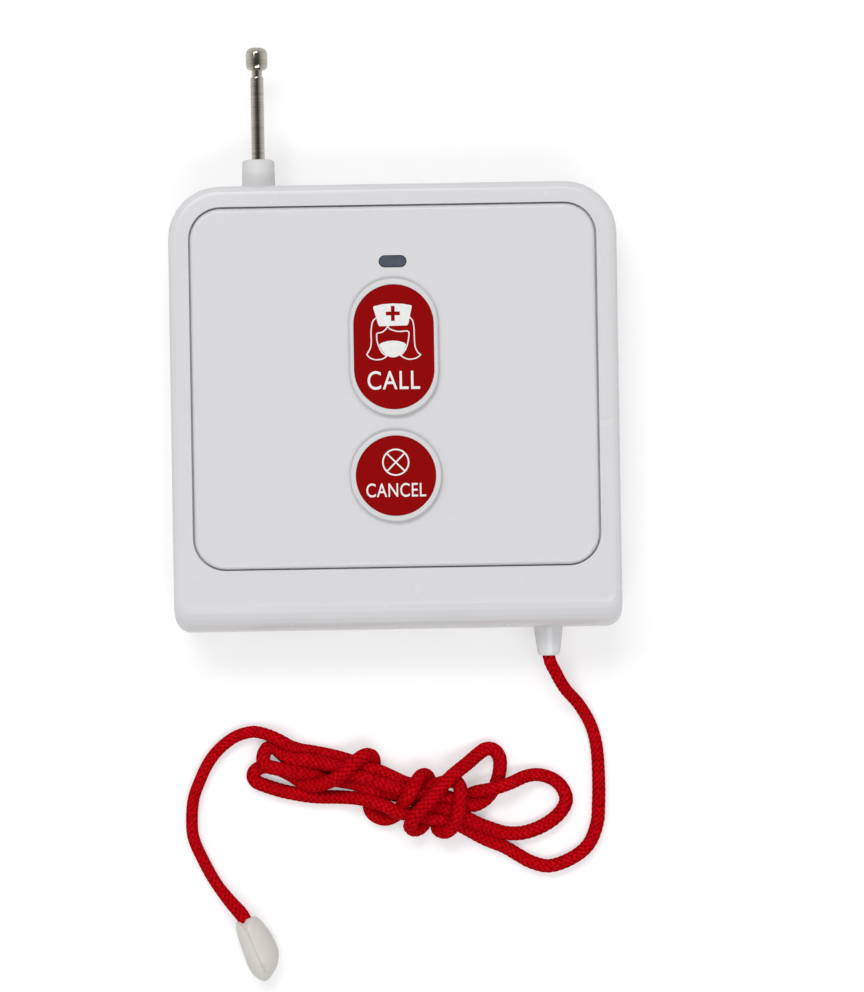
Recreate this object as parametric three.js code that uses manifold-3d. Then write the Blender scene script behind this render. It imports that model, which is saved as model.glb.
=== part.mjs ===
// Bed call button: a square wireless call unit with a telescopic aerial and a pull cord.
// Millimetres. It lies on its back: +Z out of the front panel, +Y towards the aerial, +X to the right.
// The origin is the middle of the back face.

import * as THREE from 'three';
import { mergeVertices } from 'three/addons/utils/BufferGeometryUtils.js';
import Module from 'manifold-3d';

const wasm = await Module();
wasm.setup();

// Case, driving sizes
const caseWidth = 86;
const caseHeight = 85.6;
const caseDepth = 20;
const caseWall = 2.2;
const topCornerRadius = 10;
const bottomCornerRadius = 3;
const edgeFillet = 2;
const bottomRoll = 6.4;
const frontWall = 2;

// Front panel, let into the case
const panelWidth = 77.6;
const panelHeight = 69.1;
const panelTopMargin = 4.35;
const panelCornerRadius = 6;
const panelThickness = 1.6;
const panelBevel = 0.9;
const panelGap = 0.25;

// Back cover
const coverThickness = 2.4;
const coverInset = 0.4;
const coverBevel = 0.5;
const coverRimHeight = 1.6;
const coverRimWall = 1.2;
const keyholeHead = 8;
const keyholeSlot = 4.2;
const keyholeRun = 6;
const keyholeSpacing = 30;
const keyholeDrop = 13;

// Housing screws and their bosses
const bossRadius = 2.8;
const screwRadius = 1.1;
const screwLength = 9;
const screwHeadRadius = 2.4;
const screwHeadHeight = 1.1;
const screwSink = 1.3;

// Circuit board
const boardCordGap = 5;
const boardAerialGap = 2.7;
const boardThickness = 1.6;
const boardDrop = 6.4;
const boardTopMargin = 4.6;
const boardBayGap = 2.05;
const boardBossRadius = 2.5;
const boardBossInset = 2.8;
const boardScrewLength = 4.5;
const boardScrewHeadRadius = 2;
const boardScrewHeadHeight = 0.9;
const tongueWidth = 12;
const tongueMargin = 0.7;

// Buttons and the switches under them
const callWidth = 17;
const callHeight = 26.3;
const callY = 11.4;
const cancelDiameter = 17.5;
const cancelY = -13.2;
const callRim = [0.8, 1.2];
const cancelRim = 1.05;
const capThickness = 0.85;
const capRound = 0.45;
const pressTravel = 0.4;
const pressStop = 0.1;
const capOverhang = 1.5;
const plugDepth = 0.9;
const hookReach = 0.6;
const hookHeight = 0.6;
const hookWidth = 5;
const labelThickness = 0.3;
const labelGap = 0.05;
const stemRadius = 2;
const switchSize = 6;
const switchBodyHeight = 3.5;
const switchPlungerRadius = 1.7;
const switchPlungerRise = 1.4;
const switchPlungerHold = 1.6;

// Indicator
const lensWidth = 5.05;
const lensHeight = 2.04;
const lensY = 27.8;
const lensFlange = 0.8;
const lampSize = [3.2, 1.8, 1.2];

// Components on the board
const chipSize = [7, 7, 1.2];
const chipPlace = [12.5, 6];
const radioSize = [10, 16, 2];
const radioPlace = [-11.5, -1];
const crystalSize = [4.8, 2.4, 1.5];
const crystalPlace = [12.5, 17];
const capacitorRadius = 2.5;
const capacitorHeight = 5.2;
const capacitorPlace = [14.5, -6];

// Aerial
const aerialX = -25.8;
const aerialZ = 10.5;
const bushRadius = 3.25;
const bushHeight = 5.6;
const bushNeckRadius = 2.6;
const bushTaper = 0.15;
const bushLip = 1.4;
const nutRadius = 4.2;
const nutThickness = 2.2;
const baseTubeRadius = 1.7;
const tubeWall = 0.25;
const middleTubeRadius = 1.27;
const middleTubeLength = 60;
const middleTubeOut = 16.1;
const tipRodRadius = 0.8;
const tipRodLength = 59;
const aerialCapRadius = 2.12;
const aerialCapHeight = 4.4;
const aerialNeckRadius = 1.02;
const aerialNeckHeight = 1.15;
const clipThickness = 0.4;
const clipWidth = 4;
const clipFoot = 3;
const clipY = -4;
const clipLegHeight = 2.8;

// Battery and its bay
const batteryRadius = 5.15;
const batteryLength = 28.5;
const batteryNubRadius = 2.6;
const batteryNubHeight = 1;
const batteryX = -12;
const batteryY = -28;
const bayWall = 1.2;
const contactThickness = 0.4;
const contactSize = 8;
const contactSpringLength = 3.6;
const contactWire = 0.7;
const contactTurns = 3;
const contactSpringBase = 3.2;
const contactSpringTip = 1.8;

// Battery door
const doorThickness = 1.4;
const doorMargin = 1.4;
const doorTongue = 0.9;
const doorLip = 0.7;
const doorSink = 0.2;
const doorGrooves = 4;

// Pull mechanism
const cordFromSide = 14;
const cordZ = 8.2;
const cordRadius = 1.25;
const nozzleLength = 5.7;
const nozzleBaseRadius = 2.9;
const nozzleEndRadius = 2.2;
const flangeRadius = 3.8;
const flangeThickness = 1.4;
const pullTravel = 2;
const sliderWidth = 8;
const sliderLength = 10;
const sliderHeight = 7.8;
const sliderBelowCord = 3;
const springSpace = 8;
const springRadius = 3;
const springWire = 0.6;
const springTurns = 5;
const railWall = 1.2;
const railLength = 5;
const armLength = 9.6;
const armThickness = 2;
const armHeight = 2.2;
const armBelowSwitch = 0.6;
const armBelowSliderTop = 0.5;
const pullSwitchInset = 2;
const pullPlungerRadius = 1;
const pullPlungerRise = 2.7;
const pullPlungerHold = 3.2;
const ferruleRadius = 2.2;
const ferruleLength = 4;

// Cord end
const toggleLength = 12.8;
const toggleRadius = 3.4;
const toggleTopRadius = 2.2;
const toggleSpread = { left: 0.8, right: 1.24 };
const toggleTip = [-31.1, -99.4];
const toggleTurn = 17;
const toggleCavityRadius = 2.1;

// Clearances
const gap = 0.3;
const runningGap = 0.15;
const pilotGap = 0.15;

// Levels and edges that follow from the sizes above
const halfWidth = caseWidth / 2;
const halfHeight = caseHeight / 2;
const cordX = halfWidth - cordFromSide;
const innerHalfWidth = halfWidth - caseWall;
const innerHalfHeight = halfHeight - caseWall;
const ledgeZ = caseDepth - panelThickness;
const ceilingZ = ledgeZ - frontWall;
const panelTop = halfHeight - panelTopMargin;
const panelBottom = panelTop - panelHeight;
const boardTopZ = ceilingZ - boardDrop;
const boardBottomZ = boardTopZ - boardThickness;
const boardLeft = aerialX + baseTubeRadius + contactThickness + boardAerialGap;
const boardRight = cordX - boardCordGap;
const boardTop = innerHalfHeight - boardTopMargin;
const switchTopZ = boardTopZ + switchBodyHeight;
const plungerTopZ = switchTopZ + switchPlungerRise;
const capBottomZ = caseDepth + pressTravel + pressStop;
const capTopZ = capBottomZ + capThickness;
const labelBottomZ = capTopZ - labelThickness;
const plugBottomZ = ceilingZ - plugDepth;
const collarTop = halfHeight + bushHeight;
const middleTubeTop = collarTop + middleTubeOut;
const baseTubeBottom = collarTop - middleTubeLength - 2 * gap - tubeWall;
const batteryZ = doorSink + doorThickness + gap + batteryRadius;
const bayLeft = batteryX - batteryLength / 2 - gap - contactThickness;
const bayRight = batteryX + batteryLength / 2 + gap + contactSpringLength + contactThickness;
const bayHalf = batteryRadius + gap;
const bayTopZ = batteryZ + batteryRadius + gap;
const boardBottom = batteryY + bayHalf + bayWall + boardBayGap;
const doorLeft = bayLeft - bayWall - doorMargin;
const doorRight = bayRight + bayWall + doorMargin;
const doorTop = batteryY + bayHalf + bayWall + doorMargin;
const nozzleEnd = -halfHeight - nozzleLength;
const flangeTop = -innerHalfHeight + flangeThickness;
const sliderBottom = flangeTop + springSpace;
const sliderTop = sliderBottom + sliderLength;
const sliderLowZ = cordZ - sliderBelowCord;
const sliderHighZ = sliderLowZ + sliderHeight;
const sliderLeft = cordX - sliderWidth / 2;
const sliderRight = cordX + sliderWidth / 2;
const armHighZ = switchTopZ - armBelowSwitch;
const armBottom = sliderTop - armThickness - armBelowSliderTop;
const pullSwitchTop = armBottom - gap - pullPlungerRise;
const pullSwitchX = sliderLeft - armLength + pullSwitchInset;
const pullPlungerZ = boardTopZ + switchBodyHeight / 2;
const tongueRight = sliderLeft - gap - railWall - gap;
const tongueBottom = pullSwitchTop - switchSize - tongueMargin;

// Joins, cuts and plain solids

function solidOf(geometry) {
  geometry.deleteAttribute('normal');
  geometry.deleteAttribute('uv');
  const merged = mergeVertices(geometry, 1e-4);
  const at = merged.attributes.position;
  const index = merged.index.array;
  const corner = (i) => new THREE.Vector3().fromBufferAttribute(at, i);
  const kept = [];
  let volume = 0;
  for (let i = 0; i < index.length; i += 3) {
    const [a, b, c] = [index[i], index[i + 1], index[i + 2]];
    if (a === b || b === c || a === c) continue;
    volume += corner(a).dot(corner(b).cross(corner(c)));
    kept.push(a, b, c);
  }
  if (volume < 0) kept.reverse();
  return new wasm.Manifold(new wasm.Mesh({
    numProp: 3,
    vertProperties: new Float32Array(at.array),
    triVerts: new Uint32Array(kept),
  }));
}

function geometryOf(solid) {
  const mesh = solid.getMesh();
  const geometry = new THREE.BufferGeometry();
  geometry.setAttribute('position', new THREE.BufferAttribute(mesh.vertProperties, 3));
  geometry.setIndex(new THREE.BufferAttribute(mesh.triVerts, 1));
  geometry.computeVertexNormals();
  return geometry;
}

const join = (first, ...others) => others.reduce((all, one) => all.add(one), first);
const cut = (first, ...others) => others.reduce((all, one) => all.subtract(one), first);

function box(x0, x1, y0, y1, z0, z1) {
  const geometry = new THREE.BoxGeometry(x1 - x0, y1 - y0, z1 - z0);
  return solidOf(geometry.translate((x0 + x1) / 2, (y0 + y1) / 2, (z0 + z1) / 2));
}

// A block that stands on a level, centred on a place
function block([x, y], [width, height, thickness], z) {
  return box(x - width / 2, x + width / 2, y - height / 2, y + height / 2, z, z + thickness);
}

function prism(shape, z0, z1, curveSegments = 4) {
  const options = { depth: z1 - z0, bevelEnabled: false, curveSegments };
  return solidOf(new THREE.ExtrudeGeometry(shape, options).translate(0, 0, z0));
}

// Turned pieces: a profile of [radius, place along the axis] points
function turned(profile, segments, turn, x, y, z) {
  const points = profile.map(([radius, along]) => new THREE.Vector2(radius, along));
  return solidOf(turn(new THREE.LatheGeometry(points, segments)).translate(x, y, z));
}
const alongX = (geometry) => geometry.rotateZ(-Math.PI / 2);
const alongY = (geometry) => geometry;
const alongZ = (geometry) => geometry.rotateX(Math.PI / 2);

const turnedX = (profile, y, z, segments = 24) => turned(profile, segments, alongX, 0, y, z);
const turnedY = (profile, x, z, segments = 24) => turned(profile, segments, alongY, x, 0, z);
const turnedZ = (profile, x, y, segments = 24) => turned(profile, segments, alongZ, x, y, 0);

const rod = (radius, from, to) => [[0, from], [radius, from], [radius, to], [0, to]];
const sleeve = (inner, outer, from, to) => (
  [[inner, from], [outer, from], [outer, to], [inner, to], [inner, from]]
);
const pin = (x, y, radius, z0, z1, segments = 16) => turnedZ(rod(radius, z0, z1), x, y, segments);

function roundedShape(x0, x1, y0, y1, top, bottom = top) {
  const quarter = Math.PI / 2;
  const shape = new THREE.Shape();
  shape.moveTo(x0 + bottom, y0);
  shape.absarc(x1 - bottom, y0 + bottom, bottom, -quarter, 0, false);
  shape.absarc(x1 - top, y1 - top, top, 0, quarter, false);
  shape.absarc(x0 + top, y1 - top, top, quarter, 2 * quarter, false);
  shape.absarc(x0 + bottom, y0 + bottom, bottom, 2 * quarter, 3 * quarter, false);
  return shape;
}

function stadium(width, height, x, y) {
  const radius = Math.min(width, height) / 2;
  return roundedShape(x - width / 2, x + width / 2, y - height / 2, y + height / 2, radius);
}

// One level of a rounded oblong, as points, with the same count at each level
function ringOf({ x0, x1, y0, y1, top, bottom, z }, perCorner) {
  const centres = [
    [x1 - bottom, y0 + bottom, bottom, -1], [x1 - top, y1 - top, top, 0],
    [x0 + top, y1 - top, top, 1], [x0 + bottom, y0 + bottom, bottom, 2],
  ];
  return centres.flatMap(([cx, cy, radius, quarter]) => (
    Array.from({ length: perCorner }, (_, i) => {
      const angle = (quarter + i / (perCorner - 1)) * Math.PI / 2;
      return [cx + radius * Math.cos(angle), cy + radius * Math.sin(angle), z];
    })
  ));
}

// Skin over a stack of levels, closed by a flat fan at each end
function loft(levels, perCorner = 9) {
  const rings = levels.map((level) => ringOf(level, perCorner));
  const count = rings[0].length;
  const points = rings.flat();
  const faces = [];
  for (let level = 0; level < rings.length - 1; level += 1) {
    for (let i = 0; i < count; i += 1) {
      const [a, b] = [level * count + i, level * count + (i + 1) % count];
      faces.push(a, b, b + count, a, b + count, a + count);
    }
  }
  for (const [first, flip] of [[0, true], [(rings.length - 1) * count, false]]) {
    const { x0, x1, y0, y1, z } = levels[flip ? 0 : levels.length - 1];
    const middle = points.push([(x0 + x1) / 2, (y0 + y1) / 2, z]) - 1;
    for (let i = 0; i < count; i += 1) {
      const [a, b] = [first + i, first + (i + 1) % count];
      faces.push(...(flip ? [middle, b, a] : [middle, a, b]));
    }
  }
  const geometry = new THREE.BufferGeometry();
  geometry.setAttribute('position', new THREE.Float32BufferAttribute(points.flat(), 3));
  geometry.setIndex(faces);
  return solidOf(geometry);
}

// How far a quarter-round edge of this radius has drawn in at a height below the top
const drawnIn = (radius, top, z) => {
  const rise = Math.max(z - (top - radius), 0);
  return radius - Math.sqrt(Math.max(radius * radius - rise * rise, 0));
};
const quarterLevels = (radius, top, steps) => Array.from({ length: steps + 1 }, (_, i) => (
  top - radius + radius * Math.sin(i / steps * Math.PI / 2)
));
const rising = (levels) => [...new Set(levels.map((z) => Number(z.toFixed(3))))].sort((a, b) => a - b);

// Wire, tubes and cord along a curve
function alongCurve(curve, radius, steps, sides = 8) {
  const section = new THREE.Shape();
  for (let i = 0; i < sides; i += 1) {
    const angle = 2 * Math.PI * i / sides;
    section.lineTo(radius * Math.cos(angle), radius * Math.sin(angle));
  }
  return solidOf(new THREE.ExtrudeGeometry(section, { steps, extrudePath: curve, bevelEnabled: false }));
}

class Helix extends THREE.Curve {
  constructor(startRadius, endRadius, length, turns) {
    super();
    Object.assign(this, { startRadius, endRadius, length, turns });
  }

  getPoint(t) {
    const radius = this.startRadius + (this.endRadius - this.startRadius) * t;
    const angle = 2 * Math.PI * this.turns * t;
    return new THREE.Vector3(radius * Math.cos(angle), this.length * t, radius * Math.sin(angle));
  }
}

// Case, panel and cover

// Four bosses in the corners, inside the cover's rim
const rimInside = caseWall + gap + coverRimWall + gap;
const bottomBossX = halfWidth - rimInside - bossRadius;
const bottomBossY = -(halfHeight - rimInside - bossRadius);
const topBossReach = (topCornerRadius - rimInside - bossRadius) * Math.SQRT1_2;
const topBossX = halfWidth - topCornerRadius + topBossReach;
const topBossY = halfHeight - topCornerRadius + topBossReach;
const housingScrews = [
  [-topBossX, topBossY], [topBossX, topBossY], [-bottomBossX, bottomBossY], [bottomBossX, bottomBossY],
];
const boardScrews = [boardBottom + boardBossInset, boardTop - boardBossInset].flatMap((y) => (
  [boardLeft + boardBossInset, boardRight - boardBossInset].map((x) => [x, y])
));

const callPlug = [callWidth - 2 * capOverhang, callHeight - 2 * capOverhang];
const cancelPlug = [cancelDiameter - 2 * capOverhang, cancelDiameter - 2 * capOverhang];
const holeFor = ([width, height], y, side) => stadium(width + 2 * side, height + 2 * side, 0, y);

// Openings through the front wall and the panel
const frontOpenings = (z0, z1) => [
  prism(holeFor(callPlug, callY, gap), z0, z1),
  prism(holeFor(cancelPlug, cancelY, gap), z0, z1),
  prism(stadium(lensWidth + 2 * runningGap, lensHeight + 2 * runningGap, 0, lensY), z0, z1),
];

function caseShell() {
  const levels = rising([
    coverThickness, ...quarterLevels(bottomRoll, caseDepth, 7), ...quarterLevels(edgeFillet, caseDepth, 4),
  ]).map((z) => {
    const side = drawnIn(edgeFillet, caseDepth, z);
    return {
      x0: -halfWidth + side,
      x1: halfWidth - side,
      y0: -halfHeight + drawnIn(bottomRoll, caseDepth, z),
      y1: halfHeight - side,
      top: topCornerRadius - side,
      bottom: Math.max(bottomCornerRadius - side, bottomCornerRadius / 3),
      z,
    };
  });
  const innerTop = Math.max(topCornerRadius - caseWall, caseWall);
  const inner = roundedShape(
    -innerHalfWidth, innerHalfWidth, -innerHalfHeight, innerHalfHeight, innerTop, bottomCornerRadius / 2,
  );
  const recess = roundedShape(
    -panelWidth / 2 - panelGap, panelWidth / 2 + panelGap,
    panelBottom - panelGap, panelTop + panelGap, panelCornerRadius + panelGap,
  );
  return cut(
    loft(levels),
    prism(inner, coverThickness - 1, ceilingZ),
    prism(recess, ledgeZ, caseDepth + 1, 8),
    ...frontOpenings(ceilingZ - 1, ledgeZ + 1),
  );
}

// Two rails and a stop for the pull slider, hanging from the front wall
function sliderGuides() {
  const railY = [sliderBottom, sliderBottom + railLength];
  const rails = [sliderLeft - gap - railWall, sliderRight + gap].map((x) => (
    box(x, x + railWall, ...railY, sliderLowZ, ceilingZ + 0.5)
  ));
  const stop = box(
    sliderLeft, sliderRight, sliderTop + gap, sliderTop + gap + railWall,
    cordZ + ferruleRadius + gap, ceilingZ + 0.5,
  );
  return [...rails, stop];
}

function frontHousing() {
  const bosses = housingScrews.map(([x, y]) => pin(x, y, bossRadius, coverThickness, ceilingZ + 0.5));
  const boardBosses = boardScrews.map(([x, y]) => pin(x, y, boardBossRadius, boardTopZ, ceilingZ + 0.5));
  const pilots = housingScrews.map(([x, y]) => (
    pin(x, y, screwRadius + pilotGap, coverThickness - 1, screwSink + screwLength + gap, 12)
  ));
  const boardPilots = boardScrews.map(([x, y]) => (
    pin(x, y, screwRadius + pilotGap, boardTopZ - 1, boardBottomZ + boardScrewLength + gap, 12)
  ));
  const aerialHole = turnedY(
    rod(bushNeckRadius + runningGap, innerHalfHeight - 1, halfHeight + 1), aerialX, aerialZ,
  );
  const nozzleHole = turnedY(
    rod(nozzleBaseRadius + runningGap, -halfHeight - 1, -innerHalfHeight + 1), cordX, cordZ,
  );
  return cut(
    join(caseShell(), ...bosses, ...boardBosses, ...sliderGuides()),
    ...pilots, ...boardPilots, aerialHole, nozzleHole,
  );
}

function frontPanel() {
  const levels = rising([ledgeZ, ...quarterLevels(panelBevel, caseDepth, 4)]).map((z) => {
    const side = drawnIn(panelBevel, caseDepth, z);
    const radius = panelCornerRadius - side;
    return {
      x0: -panelWidth / 2 + side,
      x1: panelWidth / 2 - side,
      y0: panelBottom + side,
      y1: panelTop - side,
      top: radius,
      bottom: radius,
      z,
    };
  });
  return cut(loft(levels), ...frontOpenings(ledgeZ - 1, caseDepth + 1));
}

// Keyhole for a wall screw: round head hole below, slot running up
function keyhole(x) {
  const y = innerHalfHeight - keyholeDrop;
  return join(
    pin(x, y, keyholeHead / 2, -1, coverThickness + 1),
    prism(roundedShape(
      x - keyholeSlot / 2, x + keyholeSlot / 2, y, y + keyholeRun, keyholeSlot / 2 - 0.01, 0.01,
    ), -1, coverThickness + 1),
  );
}

function doorSlot() {
  const low = -halfHeight - 1;
  const tongueZ = doorSink + doorThickness + gap;
  return join(
    box(doorLeft - gap, doorRight + gap, low, doorTop + gap, -1, tongueZ),
    box(doorLeft - doorTongue - gap, doorRight + doorTongue + gap, low, doorTop + gap, doorLip, tongueZ),
  );
}

function backCover() {
  const plate = loft([[coverInset + coverBevel, 0], [coverInset, coverBevel], [coverInset, coverThickness]]
    .map(([side, z]) => ({
      x0: -halfWidth + side,
      x1: halfWidth - side,
      y0: -halfHeight + side,
      y1: halfHeight - side,
      top: topCornerRadius - side,
      bottom: bottomCornerRadius - side,
      z,
    })));
  const rimShape = (side) => roundedShape(
    -innerHalfWidth + side, innerHalfWidth - side, -innerHalfHeight + side, innerHalfHeight - side,
    Math.max(topCornerRadius - caseWall - side, 0.5), bottomCornerRadius / 2,
  );
  const rim = cut(
    prism(rimShape(gap), coverThickness - 0.5, coverThickness + coverRimHeight),
    prism(rimShape(gap + coverRimWall), coverThickness - 1, coverThickness + coverRimHeight + 1),
  );
  const bay = box(
    bayLeft - bayWall, bayRight + bayWall, batteryY - bayHalf - bayWall, batteryY + bayHalf + bayWall,
    coverThickness - 0.5, bayTopZ + bayWall,
  );
  const bayInside = box(bayLeft, bayRight, batteryY - bayHalf, batteryY + bayHalf, -1, bayTopZ);
  const sliderPad = box(
    sliderLeft + 2, sliderRight - 2, sliderBottom, sliderTop, coverThickness - 0.5, sliderLowZ - gap,
  );
  const screwHoles = housingScrews.map(([x, y]) => join(
    pin(x, y, screwHeadRadius + pilotGap, -1, screwSink, 16),
    pin(x, y, screwRadius + pilotGap, -1, coverThickness + 1, 12),
  ));
  return cut(
    join(plate, rim, bay, sliderPad),
    bayInside, doorSlot(), keyhole(-keyholeSpacing / 2), keyhole(keyholeSpacing / 2), ...screwHoles,
  );
}

function batteryDoor() {
  const end = -halfHeight + coverInset + coverBevel;
  const [low, high] = [doorSink, doorSink + doorThickness];
  const plate = box(doorLeft, doorRight, end, doorTop, low, high);
  const tongues = [doorLeft - doorTongue, doorRight].map((x) => (
    box(x, x + doorTongue, end + coverBevel, doorTop, doorLip + gap, high)
  ));
  const grooves = Array.from({ length: doorGrooves }, (_, i) => {
    const y = end + 3 + 2 * i;
    return box(batteryX - 6, batteryX + 6, y, y + 0.9, low - 1, low + 0.4);
  });
  return cut(join(plate, ...tongues), ...grooves);
}

// A pan-head screw pointing up, with a cross slot in the head
function screw([x, y], headZ, headRadius, headHeight, length) {
  const body = join(
    turnedZ([[0, headZ - headHeight], [headRadius * 0.7, headZ - headHeight],
      [headRadius, headZ - headHeight * 0.5], [headRadius, headZ], [0, headZ]], x, y, 16),
    turnedZ([[0, headZ - 0.2], [screwRadius, headZ - 0.2], [screwRadius, headZ + length - screwRadius],
      [screwRadius * 0.3, headZ + length], [0, headZ + length]], x, y, 8),
  );
  const slot = headRadius * 0.6;
  const deep = headZ - headHeight * 0.4;
  return cut(
    body,
    box(x - slot, x + slot, y - 0.25, y + 0.25, headZ - headHeight - 1, deep),
    box(x - 0.25, x + 0.25, y - slot, y + slot, headZ - headHeight - 1, deep),
  );
}

// Buttons, labels, switches

// A cap that overhangs its hole, a plug through the hole, hooks under the front wall and a stem
function buttonPiece([width, height], plug, rim, y) {
  const across = (side, z) => ({
    x0: -width / 2 + side,
    x1: width / 2 - side,
    y0: y - height / 2 + side,
    y1: y + height / 2 - side,
    top: width / 2 - side - 0.01,
    bottom: width / 2 - side - 0.01,
    z,
  });
  const levels = rising([capBottomZ, ...quarterLevels(capRound, capTopZ, 4)]);
  const cap = loft(levels.map((z) => across(drawnIn(capRound, capTopZ, z), z)), 10);
  const body = prism(stadium(...plug, 0, y), plugBottomZ, capBottomZ + 0.1);
  const stem = pin(0, y, stemRadius, plungerTopZ + 0.1, plugBottomZ + 0.2);
  const hookZ = plugBottomZ + hookHeight - 0.01;
  const reach = plug[1] / 2 + gap + hookReach;
  const hooks = box(-hookWidth / 2, hookWidth / 2, y - reach, y + reach, plugBottomZ, hookZ);
  const recess = prism(
    stadium(width - 2 * rim[0], height - 2 * rim[1], 0, y), labelBottomZ, capTopZ + 1, 8,
  );
  return cut(join(cap, body, stem, hooks), recess);
}

function labelPiece([width, height], rim, y) {
  const around = 2 * labelGap;
  return prism(
    stadium(width - 2 * rim[0] - around, height - 2 * rim[1] - around, 0, y), labelBottomZ, capTopZ, 8,
  );
}

function switchBody(y) {
  const travel = pressTravel + gap;
  const bore = pin(
    0, y, switchPlungerRadius + runningGap, switchTopZ - switchPlungerHold - travel, switchTopZ + 1,
  );
  return cut(block([0, y], [switchSize, switchSize, switchBodyHeight], boardTopZ), bore);
}

const switchPlunger = (y) => pin(0, y, switchPlungerRadius, switchTopZ - switchPlungerHold, plungerTopZ);

function indicatorLens() {
  const shape = stadium(lensWidth, lensHeight, 0, lensY);
  const flange = stadium(lensWidth + 2 * lensFlange, lensHeight + 2 * lensFlange, 0, lensY);
  return join(
    prism(shape, boardTopZ + lampSize[2] + gap, caseDepth),
    prism(flange, ceilingZ - lensFlange, ceilingZ),
  );
}

// Circuit board and what stands on it

function circuitBoard() {
  const plate = box(boardLeft, boardRight, boardBottom, boardTop, boardBottomZ, boardTopZ);
  const tongue = box(
    tongueRight - tongueWidth, tongueRight, tongueBottom, boardBottom + 1, boardBottomZ, boardTopZ,
  );
  const holes = boardScrews.map(([x, y]) => (
    pin(x, y, screwRadius + pilotGap, boardBottomZ - 1, boardTopZ + 1, 12)
  ));
  return cut(join(plate, tongue), ...holes);
}

const capacitor = () => turnedZ([
  [0, boardTopZ], [capacitorRadius, boardTopZ],
  [capacitorRadius, boardTopZ + capacitorHeight - 0.3],
  [capacitorRadius - 0.3, boardTopZ + capacitorHeight], [0, boardTopZ + capacitorHeight],
], ...capacitorPlace, 20);

// Aerial

function aerialBush() {
  const bore = baseTubeRadius + runningGap;
  const lipBore = middleTubeRadius + runningGap;
  const neckEnd = innerHalfHeight - nutThickness - 2 * gap;
  return turnedY([
    [bore, neckEnd], [bushNeckRadius, neckEnd], [bushNeckRadius, halfHeight], [bushRadius, halfHeight],
    [bushRadius - bushTaper, collarTop - 0.5], [bushRadius - bushTaper - 0.15, collarTop - 0.15],
    [bushRadius - bushTaper - 0.5, collarTop], [lipBore, collarTop], [lipBore, collarTop - bushLip],
    [bore, collarTop - bushLip], [bore, neckEnd],
  ], aerialX, aerialZ, 24);
}

function aerialNut() {
  const nut = turnedY(
    sleeve(bushNeckRadius + runningGap, nutRadius, innerHalfHeight - nutThickness, innerHalfHeight),
    aerialX, aerialZ, 6,
  );
  const bore = turnedY(
    rod(bushNeckRadius + runningGap, innerHalfHeight - nutThickness - 1, innerHalfHeight + 1),
    aerialX, aerialZ, 32,
  );
  return cut(nut, bore);
}

const aerialBaseTube = () => turnedY([
  [0, baseTubeBottom], [baseTubeRadius, baseTubeBottom],
  [baseTubeRadius, collarTop - bushLip - 0.1], [baseTubeRadius - tubeWall, collarTop - bushLip - 0.1],
  [baseTubeRadius - tubeWall, baseTubeBottom + tubeWall], [0, baseTubeBottom + tubeWall],
], aerialX, aerialZ);

function aerialMiddleTube() {
  const inner = middleTubeRadius - tubeWall;
  const low = middleTubeTop - middleTubeLength;
  return turnedY([
    [inner, low], [middleTubeRadius, low], [middleTubeRadius, middleTubeTop - 0.3],
    [middleTubeRadius - 0.1, middleTubeTop], [inner, middleTubeTop], [inner, low],
  ], aerialX, aerialZ, 28);
}

const neckBottom = middleTubeTop + runningGap;
const capHole = 3.4;

const aerialTipRod = () => turnedY(
  rod(tipRodRadius, neckBottom + capHole - 0.1 - tipRodLength, neckBottom + capHole - 0.1),
  aerialX, aerialZ, 16,
);

function aerialCap() {
  const shoulder = neckBottom + aerialNeckHeight;
  const top = shoulder + aerialCapHeight;
  const hole = tipRodRadius + 0.05;
  const r = aerialCapRadius;
  return turnedY([
    [hole, neckBottom], [aerialNeckRadius, neckBottom], [aerialNeckRadius, shoulder],
    [r * 0.62, shoulder], [r * 0.9, shoulder + 0.35], [r * 0.98, shoulder + 0.8], [r, shoulder + 1.6],
    [r, top - 1.3], [r * 0.96, top - 0.8], [r * 0.84, top - 0.35], [r * 0.62, top - 0.06], [0, top],
    [0, neckBottom + capHole], [hole, neckBottom + capHole], [hole, neckBottom],
  ], aerialX, aerialZ, 28);
}

// Bent strip: a foot on the board and a leg that bears on the base tube
function aerialContactClip() {
  const legX = aerialX + baseTubeRadius + runningGap;
  const [y0, y1] = [clipY - clipWidth / 2, clipY + clipWidth / 2];
  return join(
    box(legX, boardLeft + clipFoot, y0, y1, boardTopZ, boardTopZ + clipThickness),
    box(legX, legX + clipThickness, y0, y1, aerialZ - clipLegHeight / 2, aerialZ + clipLegHeight / 2),
  );
}

// Battery and contacts

const battery = () => turnedX([
  [0, batteryX - batteryLength / 2], [batteryNubRadius, batteryX - batteryLength / 2],
  [batteryNubRadius, batteryX - batteryLength / 2 + batteryNubHeight],
  [batteryRadius - 0.4, batteryX - batteryLength / 2 + batteryNubHeight],
  [batteryRadius, batteryX - batteryLength / 2 + batteryNubHeight + 0.4],
  [batteryRadius, batteryX + batteryLength / 2 - 0.4], [batteryRadius - 0.4, batteryX + batteryLength / 2],
  [0, batteryX + batteryLength / 2],
], batteryY, batteryZ, 32);

function contactPlate(x) {
  const half = contactSize / 2;
  return box(x, x + contactThickness, batteryY - half, batteryY + half, batteryZ - half, batteryZ + half);
}

function springContact() {
  const wire = contactWire / 2;
  const run = contactSpringLength - contactWire;
  const coil = alongCurve(new Helix(contactSpringBase, contactSpringTip, run, contactTurns), wire, contactTurns * 10, 6);
  const place = new THREE.Matrix4().makeRotationZ(Math.PI / 2)
    .setPosition(bayRight - contactThickness - wire + 0.1, batteryY, batteryZ);
  return join(contactPlate(bayRight - contactThickness), coil.transform(place.toArray()));
}

// Pull mechanism

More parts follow.
